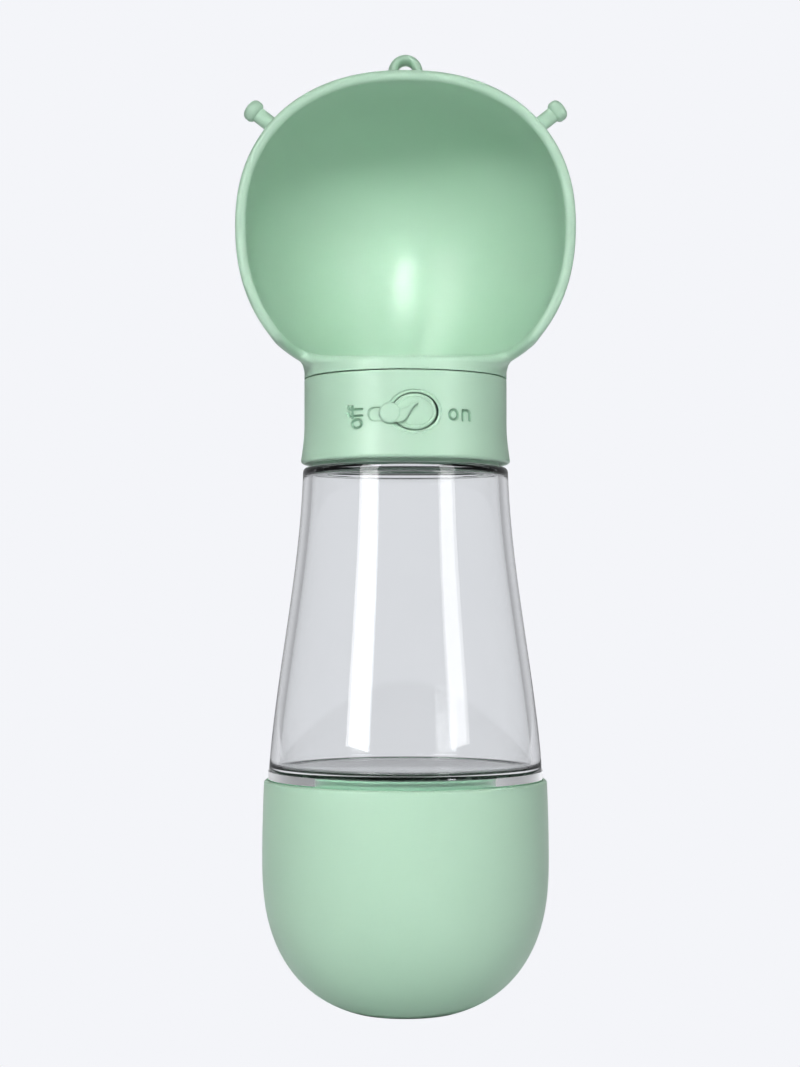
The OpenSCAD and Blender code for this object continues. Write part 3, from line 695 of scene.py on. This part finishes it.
def gasket_skin():
    """The green ring, seen through the clear foot that it is pressed into."""
    rim = 0.25 * MM
    section = [(GASKET_IN, GASKET_LOW), (GASKET_IN, GASKET_TOP)]
    section += arc(GASKET_OUT - rim, GASKET_TOP - rim, rim, 90, 0, 4)
    section += arc(GASKET_OUT - rim, GASKET_LOW + rim, rim, 0, -90, 4) + [(GASKET_IN, GASKET_LOW)]
    return turned("gasket_skin", section, 128, "green_silicone")


cup = cup_skin()
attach(cup, "cup")
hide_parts("food_cup")
bottle = bottle_skin()
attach(bottle, "bottle")
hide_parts("bottle_shell", "bottle_base")
gasket = gasket_skin()
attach(gasket, "cup_ring")
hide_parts("cup_gasket")


# The collar and the switch, laid out on the collar's face: along it, up it and out from the axis


def wrap(along, z, radius):
    """Places of points that are laid out on the collar's face."""
    turn = along / COLLAR_R
    return np.stack([radius * np.sin(turn), -radius * np.cos(turn), z], axis=-1)


def stroke_distance(along, up, path):
    """Distance from each place to a bent line."""
    nearest = np.full(along.shape, 1.0)
    for (x0, z0), (x1, z1) in zip(path[:-1], path[1:]):
        run, rise = x1 - x0, z1 - z0
        share = np.clip(((along - x0) * run + (up - z0) * rise) / (run ** 2 + rise ** 2), 0, 1)
        nearest = np.minimum(nearest, np.hypot(along - x0 - share * run, up - z0 - share * rise))
    return nearest


# The two words of the switch, as strokes
LETTER_H = 2.6 * MM
LETTER_W = 2.2 * MM
TALL_H = 3.7 * MM
HOOK = 0.7 * MM


def letter_o(at):
    return [curve(at + LETTER_W / 2, LETTER_H / 2, LETTER_W / 2, LETTER_H / 2, 0, 360, 28)]


def letter_n(at):
    width = LETTER_W * 0.84
    arch = curve(at + width / 2, LETTER_H - width / 2, width / 2, width / 2, 180, 0)
    return [[(at, 0), (at, LETTER_H)], arch + [(at + width, 0)]]


def letter_f(at):
    hook = curve(at + HOOK, TALL_H - HOOK, HOOK, HOOK, 180, 90, 8)
    return [[(at, 0)] + hook + [(at + HOOK * 1.3, TALL_H)],
            [(at - HOOK * 0.6, LETTER_H), (at + HOOK * 1.2, LETTER_H)]]


ON_STROKES = letter_o(0) + letter_n(LETTER_W + 1.45 * MM)
OFF_STROKES = letter_o(0) + letter_f(LETTER_W + 1.0 * MM) + letter_f(LETTER_W + 2.75 * MM)
ON_AT = (11.8 * MM, SWITCH_Z - 1.7 * MM)
OFF_AT = (-11.7 * MM, SWITCH_Z - 3.95 * MM)
STROKE_HALF = 0.31 * MM
ENGRAVED = 0.7 * MM


def sunk(distance, depth, soft):
    """Depth of a hollow whose edge is where the distance is nought, with a rounded edge."""
    return depth * smooth(0.5 - distance / soft)


def oval_distance(along, z, half_x, half_z):
    """About how far a place is outside an oval round the button's middle."""
    ring = np.hypot((along - BUTTON_X) / half_x, (z - BUTTON_Z) / half_z)
    return (ring - 1) * 2 * half_x * half_z / (half_x + half_z)


def word_distance(along, z):
    """Distance from each place to the nearest stroke of the two words."""
    words = np.full(along.shape, 1.0)
    x = COLLAR_R * np.sin(along / COLLAR_R)
    for path in ON_STROKES:
        words = np.minimum(words, stroke_distance(x - ON_AT[0], z - ON_AT[1], path))
    for path in OFF_STROKES:
        words = np.minimum(words, stroke_distance(z - OFF_AT[1], OFF_AT[0] - x, path))
    return words


def collar_hollow(along, z):
    """How deep the collar's face is sunk at each place: button band, lock's pocket and words."""
    hole = oval_distance(along, z, BUTTON_RX + BUTTON_GAP, BUTTON_RZ + BUTTON_GAP)
    depth = sunk(hole - BAND_W, 0.5 * MM, 0.35 * MM) + sunk(hole, 0.16 * MM, 0.3 * MM)
    pocket = stroke_distance(along, z, [(POCKET_X, SLOT_Z), (KNOB_X, SLOT_Z)]) - POCKET_R
    depth = np.maximum(depth, sunk(pocket, 0.8 * MM, 0.3 * MM))
    return np.maximum(depth, sunk(word_distance(along, z) - STROKE_HALF, ENGRAVED, 0.2 * MM))


def paint_engraving_shade(collar):
    """Notes on the collar's points how deep the words are there, as painted shade that darkens them in
    its material.
    """
    points = np.empty(len(collar.data.vertices) * 3)
    collar.data.vertices.foreach_get("co", points)
    x, y, z = points.reshape(-1, 3).T
    near_face = (y < 0) & (np.hypot(x, y) > COLLAR_R - 1.2 * ENGRAVED)
    # Painted shade: from 1 inside the words' strokes to 0 outside them, softly at their edges
    words = sunk(word_distance(np.arctan2(x, -y) * COLLAR_R, z) - STROKE_HALF, 1.0, 0.3 * MM)
    painted_shade_marks = collar.data.attributes.new(PAINTED_SHADE_ATTRIBUTE, "FLOAT", "POINT")
    painted_shade_marks.data.foreach_set("value", np.where(near_face, words, 0))


def collar_profile():
    """The collar's closed section, with the first row of its face and the first one past it."""
    edge = 0.9 * MM
    low_r = COLLAR_R + COLLAR_FLARE
    round_r = 0.35 * MM
    dense_low = SWITCH_Z - 6.5 * MM
    dense_high = SWITCH_Z + 6.5 * MM
    dense_step = 0.13 * MM
    skirt_z = SHOULDER_Z + 0.15 * MM
    skirt_r = COLLAR_R - 2.2 * MM
    rows = [(COLLAR_BORE, skirt_z), (skirt_r, skirt_z), (skirt_r, COLLAR_Z)]
    rows += arc(low_r - edge, COLLAR_Z + edge, edge, -90, 0)
    face_start = len(rows)
    rise = np.linspace(0, 1, 11)[1:]
    flare_top = COLLAR_Z + 11 * MM
    # Coarse rows up to the switch, fine ones for its relief and coarse ones above it
    heights = list(mix(COLLAR_Z + edge, dense_low, rise))
    heights += list(np.arange(dense_low + dense_step, dense_high, dense_step))
    heights += list(np.linspace(dense_high, SEAM_Z - round_r, 8))
    for z in heights:
        share = min(1, (z - COLLAR_Z - edge) / (flare_top - COLLAR_Z - edge))
        rows.append((low_r - COLLAR_FLARE * math.sin(share * math.pi / 2), z))
    rows += arc(COLLAR_R - round_r, SEAM_Z - round_r, round_r, 0, 90, 6)[1:]
    face_end = len(rows)
    ledge_low = LEDGE_Z - 1.2 * MM
    rows += [(COLLAR_TOP_BORE, SEAM_Z), (COLLAR_TOP_BORE, LEDGE_Z), (LEDGE_R, LEDGE_Z),
             (LEDGE_R, ledge_low), (COLLAR_BORE, ledge_low), (COLLAR_BORE, skirt_z)]
    return np.array(rows), face_start, face_end


def button_hole():
    """An oval bar along Y through the collar's front wall."""
    bpy.ops.object.select_all(action="DESELECT")
    middle = (math.sin(BUTTON_X / COLLAR_R) * COLLAR_R, -COLLAR_R, BUTTON_Z)
    bpy.ops.mesh.primitive_cylinder_add(vertices=120, radius=1, depth=12 * MM, location=middle,
                                        rotation=(math.pi / 2, 0, 0),
                                        scale=(BUTTON_RX + BUTTON_GAP, BUTTON_RZ + BUTTON_GAP, 1))
    return bpy.context.object


def latch_slot():
    """A bar through the collar's front wall, as long as the latch's travel and hidden by the knob."""
    bpy.ops.object.select_all(action="DESELECT")
    outer = COLLAR_R + 0.05 * MM
    inner = 23 * MM
    middle_x = LATCH_X - 1.4 * MM
    bpy.ops.mesh.primitive_cube_add(size=1, location=(middle_x, -(outer + inner) / 2, SLOT_Z),
                                    scale=(3.75 * MM, outer - inner, 1.5 * MM))
    return bpy.context.object


def cut_with(piece, cutter):
    """Takes the cutter's shape out of a piece and clears the cutter away."""
    pick(piece)
    cut = piece.modifiers.new("cut", "BOOLEAN")
    cut.operation = "DIFFERENCE"
    cut.solver = "EXACT"
    cut.object = cutter
    bpy.ops.object.modifier_apply(modifier=cut.name)
    bpy.data.objects.remove(cutter, do_unlink=True)


def collar_skin():
    """The collar, fine enough at the front for its words, with the holes for button and latch."""
    profile, face_start, face_end = collar_profile()
    # Fine columns at the front and coarse ones round the rest
    half_angle = math.radians(42)
    front = np.arange(-half_angle, half_angle, math.radians(0.27))
    rest = np.linspace(front[-1], 2 * math.pi + front[0], 64)[1:-1]
    turns = np.concatenate([front, rest])

    def place(row, column):
        turn = turns[column]
        along = np.where(turn > math.pi, turn - 2 * math.pi, turn) * COLLAR_R
        radius, z = profile[row, 0], profile[row, 1]
        face = (row >= face_start) & (row < face_end) & (column < len(front))
        radius = radius - np.where(face, collar_hollow(along, z), 0)
        return np.stack([radius * np.sin(turn), -radius * np.cos(turn), z], axis=-1)

    collar = skin("collar_skin", len(profile), len(turns), place, "mint_plastic")
    cut_with(collar, button_hole())
    cut_with(collar, latch_slot())
    # Painted shade for the engraved words, kept on the collar's points
    paint_engraving_shade(collar)
    return dress(collar, "mint_plastic")


def button_skin():
    """The button's face with a fine line and a rounded edge, its wall, and the flanged block behind it.

    Each row is an oval: its half width, its half height and its distance from the collar's axis."""
    soft = 0.75 * MM
    face = COLLAR_R - 0.28 * MM
    line = 0.95 * MM
    rows = [(share * (BUTTON_RX - soft), share * (BUTTON_RZ - soft), face)
            for share in (0, 0.2, 0.4, 0.6, 0.75)]
    rows += [(BUTTON_RX - line + out * MM, BUTTON_RZ - line + out * MM, face - deep * MM)
             for out, deep in ((-0.24, 0), (-0.16, 0.12), (0, 0.14), (0.08, 0.02))]
    for turn in np.linspace(0, math.pi / 2, 9):
        inset = soft * (1 - math.sin(turn))
        rows.append((BUTTON_RX - inset, BUTTON_RZ - inset, face - 0.5 * soft * (1 - math.cos(turn))))
    wall_row = len(rows)
    back = COLLAR_R - 1.6 * MM
    block_x = 4.2 * MM
    flange_x = 4.8 * MM
    flange = 24.95 * MM
    inner = 23.95 * MM
    low = PLATE_TOP + 0.4 * MM
    high = BUTTON_Z + BUTTON_RZ - 0.7 * MM
    half = (high - low) / 2
    rows += [(BUTTON_RX, BUTTON_RZ, back), (block_x, half, back), (block_x, half, flange),
             (flange_x, half, flange), (flange_x, half, inner), (0, 0, inner)]
    ring = np.array(rows)
    columns = 96

    def place(row, column):
        turn = column * 2 * math.pi / columns
        along = BUTTON_X + ring[row, 0] * np.cos(turn)
        middle = np.where(row > wall_row, (low + high) / 2, BUTTON_Z)
        return wrap(along, middle + ring[row, 1] * np.sin(turn), ring[row, 2])

    return skin("button_skin", len(rows), columns, place, "mint_plastic")


def bezier(points, share):
    """Points of a cubic curve between the first and the last of four points."""
    a, b, c, d = (np.array(p) for p in points)
    t = share[:, None]
    return (1 - t) ** 3 * a + 3 * (1 - t) ** 2 * t * b + 3 * (1 - t) * t ** 2 * c + t ** 3 * d


def lock_knob():
    """Round knob with a softly dished top, bent to the collar."""
    high = COLLAR_R + 1.3 * MM
    soft = 0.5 * MM
    rows = [(share * KNOB_R, high - dip * MM)
            for share, dip in ((0, 0.16), (0.35, 0.15), (0.6, 0.1), (0.74, 0.02))]
    rows += arc(KNOB_R - soft, high - soft, soft, 90, 0, 7)
    rows += [(KNOB_R, LOCK_LOW), (0, LOCK_LOW)]
    ring = np.array(rows)
    columns = 64

    def place(row, column):
        turn = column * 2 * math.pi / columns
        out, height = ring[row, 0], ring[row, 1]
        return wrap(KNOB_X + out * np.cos(turn), KNOB_Z + out * np.sin(turn), height)

    return skin("lock_knob", len(rows), columns, place, "mint_plastic")


def lock_tail():
    """The S shaped tail over the button, a ribbon between two curves with a rounded top.

    Its first columns cross the top and its last two are the corners of its flat underside."""
    share = np.linspace(0, 1, 34)
    right = bezier([(-3.4, -2.6), (1.9, -3.4), (0.1, 0.9), (3.25, 2.25)], share) * MM
    left = bezier([(-3.4, 1.0), (0.3, 0.2), (1.0, 2.6), (3.2, 2.75)], share) * MM
    high = COLLAR_R + 1.0 * MM
    top_columns = 12
    turns = np.linspace(0, math.pi, top_columns)

    def place(row, column):
        station = np.clip(row - 1, 0, len(share) - 1)
        start, end = right[station], left[station]
        wide = np.linalg.norm(end - start, axis=-1)
        soft = np.minimum(0.4 * MM, wide / 2)
        turn = turns[np.clip(column, 0, top_columns - 1)]
        top = column < top_columns
        early = turn <= math.pi / 2
        inset = soft * (1 - np.abs(np.cos(turn)))
        under = np.where(column == top_columns, wide, 0)
        across = np.where(top, np.where(early, inset, wide - inset), under)
        height = np.where(top, high - soft * (1 - np.sin(turn)), LOCK_LOW)
        ends = (row == 0) | (row == len(share) + 1)
        across = np.where(ends, wide / 2, across)
        height = np.where(ends, (LOCK_LOW + high) / 2, height)
        spot = start + (end - start) * (across / np.maximum(wide, 1e-9))[..., None]
        return wrap(spot[..., 0], SWITCH_Z + spot[..., 1], height)

    return skin("lock_tail", len(share) + 2, top_columns + 2, place, "mint_plastic")


def lock_latch():
    """The latch that passes through the collar's slot to the clip."""
    bpy.ops.object.select_all(action="DESELECT")
    outer = COLLAR_R + 0.05 * MM
    inner = 24.55 * MM
    bpy.ops.mesh.primitive_cube_add(size=1, location=(LATCH_X, -(outer + inner) / 2, SLOT_Z),
                                    scale=(0.8 * MM, outer - inner, 1.2 * MM))
    latch = bpy.context.object
    latch.name = "lock_latch"
    bpy.ops.object.transform_apply(location=True, rotation=True, scale=True)
    bpy.ops.object.mode_set(mode="EDIT")
    bpy.ops.mesh.select_all(action="SELECT")
    bpy.ops.mesh.bevel(offset=0.15 * MM, segments=2)
    bpy.ops.object.mode_set(mode="OBJECT")
    return dress(latch, "mint_plastic")


def join(pieces, name):
    """Makes one piece of several."""
    pick(*pieces)
    bpy.ops.object.join()
    pieces[0].name = name
    pieces[0].data.name = name
    return pieces[0]


collar = collar_skin()
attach(collar, "head")
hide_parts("collar")
button = button_skin()
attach(button, "button")
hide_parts("push_button")
lock = join([lock_knob(), lock_tail(), lock_latch()], "lock_skin")
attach(lock, "lock")
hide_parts("lock_slider")


# Camera, at the photograph's height and distance
camera_data = bpy.data.cameras.new("photo_camera")
camera = bpy.data.objects.new("photo_camera", camera_data)
bpy.context.scene.collection.objects.link(camera)
camera_data.sensor_width = 36
camera_data.lens = camera_data.sensor_width * FOCAL_PX / PHOTO_H
camera_data.shift_x = (PHOTO_W / 2 - AXIS_PX) / PHOTO_H
camera_data.shift_y = (HORIZON_PX - PHOTO_H / 2) / PHOTO_H
camera_data.clip_start = 0.01
camera_data.clip_end = 50
camera.location = (0, EYE_Y, EYE_Z)
camera.rotation_euler = (math.radians(90), 0, 0)
bpy.context.scene.camera = camera


# Lights: what shines on a glossy or clear surface, and what lights a plain one, are set apart
SHINE = ("glossy", "transmission")
LIGHT = ("diffuse",)
TALL_BOX = (0.40, 0.75)
SLIM_BOX = (0.33, 0.75)
SMALL_BOX = (0.14, 0.14)


def softbox(name, rays, size, azimuth, height, power, aim_z=0.14, spread=180, distance=1.0):
    """A rectangular soft light that faces the object. Azimuth 0 is the camera's side, 90 the right."""
    lamp = bpy.data.lights.new(name, "AREA")
    lamp.shape = "RECTANGLE"
    lamp.size, lamp.size_y = size
    lamp.energy = power
    lamp.spread = math.radians(spread)
    holder = bpy.data.objects.new(name, lamp)
    bpy.context.scene.collection.objects.link(holder)
    angle = math.radians(azimuth)
    place = Vector((math.sin(angle) * distance, -math.cos(angle) * distance, height))
    holder.location = place
    holder.rotation_euler = (Vector((0, 0, aim_z)) - place).to_track_quat("-Z", "Y").to_euler()
    holder.visible_camera = False
    holder.visible_diffuse = "diffuse" in rays
    holder.visible_glossy = "glossy" in rays
    holder.visible_transmission = "transmission" in rays


softbox("key_shine", SHINE, TALL_BOX, azimuth=-41, height=0.56, power=5.4)
softbox("fill_shine", SHINE, SLIM_BOX, azimuth=47, height=0.56, power=3.0)
softbox("bowl_shine", SHINE, (0.016, 0.016), azimuth=1, height=0.256, power=0.0012,
        aim_z=0.219, spread=7, distance=0.25)
softbox("key_softbox", LIGHT, TALL_BOX, azimuth=-41, height=0.56, power=0.6)
softbox("fill_softbox", LIGHT, SLIM_BOX, azimuth=70, height=0.56, power=1.4)
softbox("front_softbox", LIGHT, SMALL_BOX, azimuth=-5, height=0.60, power=6.3)
softbox("bowl_softbox", LIGHT, (0.03, 0.03), azimuth=10, height=0.34, power=0.005,
        aim_z=0.212, spread=14, distance=0.5)
softbox("foot_softbox", LIGHT + ("transmission",), SMALL_BOX, azimuth=-17, height=0.60, power=0.075,
        aim_z=0.06, spread=20)
softbox("back_softbox", LIGHT, TALL_BOX, azimuth=160, height=0.56, power=4.2)
softbox("back_fill_softbox", LIGHT, TALL_BOX, azimuth=-145, height=0.56, power=2.0)
softbox("top_softbox", LIGHT + SHINE, (0.5, 0.3), azimuth=0, height=1.05, power=0.2, distance=0.60)

# The world: one pale colour for the camera and through the bottle, where it is darker to the sides,
# and for plain light a dim sky that is brighter behind the object
BACKDROP = colour(244, 245, 249)
backdrop = Finish("pale_room", bpy.data.worlds.new("pale_room"))
bpy.context.scene.world = backdrop.material


def pale_to_the_eye(f, plain, shade):
    """The backdrop's colour for what the camera sees, straight or darker through the clear bottle."""
    path = f.node("ShaderNodeLightPath")
    inside = f.socket(path, "Is Transmission Ray")
    seen = f.maths("MAXIMUM", path, inside)
    glow = f.node(f.glow, {"Color": BACKDROP, "Strength": 1.0 - inside * shade})
    return f.node("ShaderNodeMixShader", {0: seen, 1: plain, 2: glow})


# How far a ray points away from the camera: 1 straight behind the object
direction = backdrop.node("ShaderNodeSeparateXYZ", {0: backdrop.node("ShaderNodeTexCoord")}, output="Y")
dimness = backdrop.node("ShaderNodeMapRange", {"Value": direction, "From Min": 0.9, "From Max": 0.1,
                                               "To Min": 0.30, "To Max": 0.12})
plain_sky = backdrop.node("ShaderNodeBackground", {"Color": (0.93, 0.95, 0.97, 1), "Strength": dimness})
aside = backdrop.node("ShaderNodeMapRange", {"Value": direction, "From Min": 0.93, "From Max": 0.80,
                                             "To Min": 0.10, "To Max": 0.50})
backdrop.finish(pale_to_the_eye(backdrop, plain_sky, aside))

# Floor: pale as the backdrop, with the object's soft shadow
bpy.ops.mesh.primitive_plane_add(size=40, location=(0, 0, 0))
floor = bpy.context.object
floor.name = "floor"
paper = Finish("floor_paper")
grey = paper.node("ShaderNodeBsdfDiffuse", {"Color": (0.82, 0.83, 0.85, 1)})
floor.data.materials.append(paper.finish(pale_to_the_eye(paper, grey, 0.10)))

bpy.context.scene.view_settings.view_transform = "Standard"
